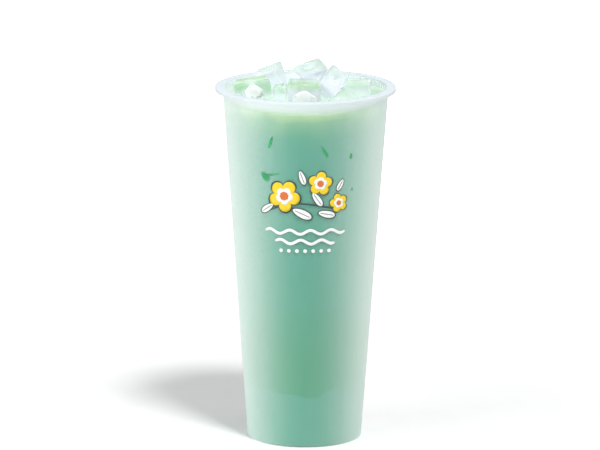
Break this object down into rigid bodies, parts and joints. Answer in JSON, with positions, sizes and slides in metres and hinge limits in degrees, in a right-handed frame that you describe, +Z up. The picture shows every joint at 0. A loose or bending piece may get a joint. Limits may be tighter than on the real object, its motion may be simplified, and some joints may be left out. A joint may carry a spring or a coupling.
{
  "type": "iced jasmine green milk tea in a takeaway cup",
  "caption": "Tall tapered takeaway cup with a flanged rim, filled almost to the brim with pale green milk tea and heaped with clear ice blocks.",
  "frame": {"origin": "centre of the foot ring, on the surface that the cup stands on", "axes": "+Z up along the cup's axis; the shown front faces -Y, with +X to its right"},
  "size_m": [0.09, 0.09, 0.1895],
  "materials": {
    "cup_plastic": "milky, see-through polypropylene",
    "milk_tea": "wet, opaque, pale jade green",
    "ice": "clear, wet, with white cores"
  },
  "bodies": {
    "root": {"cup": "cup_plastic", "milk_tea": "milk_tea", "ice_back_centre": "ice", "ice_back_left": "ice", "ice_far_back": "ice", "ice_far_left": "ice", "ice_far_right": "ice", "ice_front_centre": "ice", "ice_front_left": "ice", "ice_front_right": "ice", "ice_middle": "ice", "ice_right": "ice", "ice_right_back": "ice", "ice_small_left": "ice"}
  },
  "joints": []
}
